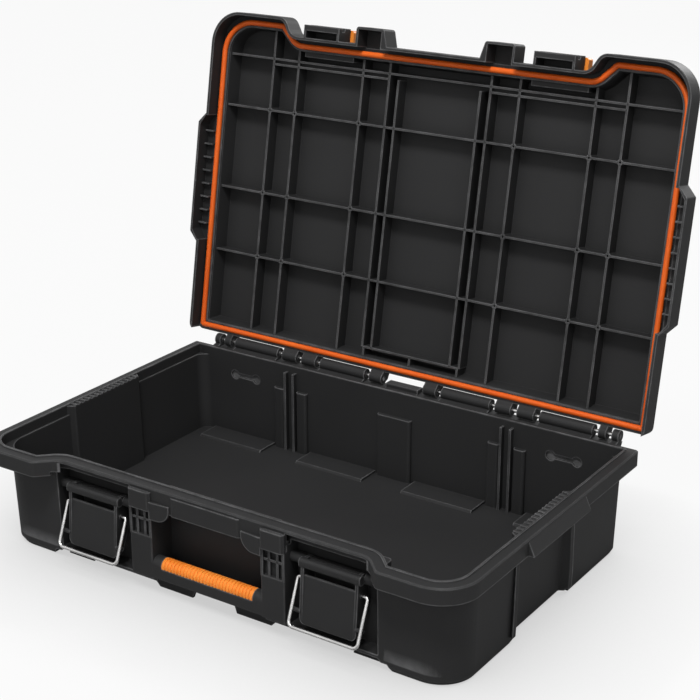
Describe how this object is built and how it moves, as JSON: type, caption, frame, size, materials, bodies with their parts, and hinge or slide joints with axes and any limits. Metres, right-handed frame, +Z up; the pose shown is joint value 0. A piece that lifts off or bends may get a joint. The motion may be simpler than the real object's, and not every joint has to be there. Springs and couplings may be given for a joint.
{
  "type": "tool case",
  "caption": "Low black tool case with an open hinged lid, ribbed lid interior, orange seal, wire-bail draw latches and a front carrying bar with a ribbed grip.",
  "frame": {"origin": "on the floor under the middle of the open case's outline, seen from above", "axes": "+X to the right along the hinge line, +Y from the latches to the hinge, +Z up"},
  "size_m": [0.5586, 0.4323, 0.4579],
  "materials": {
    "black_plastic": "fine textured satin",
    "orange_plastic": "satin",
    "orange_seal": "soft satin",
    "bright_steel": "bright zinc",
    "spring_steel": "plain"
  },
  "bodies": {
    "base": {"base_shell": "black_plastic", "handle_grip": "orange_plastic", "left_outer_hinge_pin": "bright_steel", "left_middle_hinge_pin": "bright_steel", "left_inner_hinge_pin": "bright_steel", "left_lever_pin": "bright_steel", "right_outer_hinge_pin": "bright_steel", "right_middle_hinge_pin": "bright_steel", "right_inner_hinge_pin": "bright_steel", "right_lever_pin": "bright_steel"},
    "lid": {"lid_shell": "black_plastic", "lid_seal": "orange_seal", "left_button_spring": "spring_steel", "right_button_spring": "spring_steel"},
    "left_lever": {"left_latch_lever": "black_plastic"},
    "left_bail": {"left_latch_bail": "bright_steel"},
    "left_button": {"left_release_button": "orange_plastic"},
    "right_lever": {"right_latch_lever": "black_plastic"},
    "right_bail": {"right_latch_bail": "bright_steel"},
    "right_button": {"right_release_button": "orange_plastic"}
  },
  "joints": [
    {"name": "lid_hinge", "type": "hinge", "parent": "base", "child": "lid", "pos_m": [0, 0.1294, 0.1085], "axis": [-1, 0, 0], "range_deg": [-100.15, 0]},
    {"name": "left_lever_pivot", "type": "hinge", "parent": "base", "child": "left_lever", "pos_m": [-0.1315, -0.1857, 0.076], "axis": [-1, 0, 0], "range_deg": [0, 70]},
    {"name": "left_bail_pivot", "type": "hinge", "parent": "left_lever", "child": "left_bail", "pos_m": [-0.1315, -0.1925, 0.0625], "axis": [1, 0, 0], "range_deg": [-125.3, 0]},
    {"name": "left_button_press", "type": "slide", "parent": "lid", "child": "left_button", "axis": [0, -0.1762, -0.9843], "range_m": [0, 0.004], "stiffness_N_per_m": 400, "springref_m": -0.004, "deforming": ["left_button_spring"]},
    {"name": "right_lever_pivot", "type": "hinge", "parent": "base", "child": "right_lever", "pos_m": [0.1315, -0.1857, 0.076], "axis": [-1, 0, 0], "range_deg": [0, 70]},
    {"name": "right_bail_pivot", "type": "hinge", "parent": "right_lever", "child": "right_bail", "pos_m": [0.1315, -0.1925, 0.0625], "axis": [1, 0, 0], "range_deg": [-125.3, 0]},
    {"name": "right_button_press", "type": "slide", "parent": "lid", "child": "right_button", "axis": [0, -0.1762, -0.9843], "range_m": [0, 0.004], "stiffness_N_per_m": 400, "springref_m": -0.004, "deforming": ["right_button_spring"]}
  ]
}
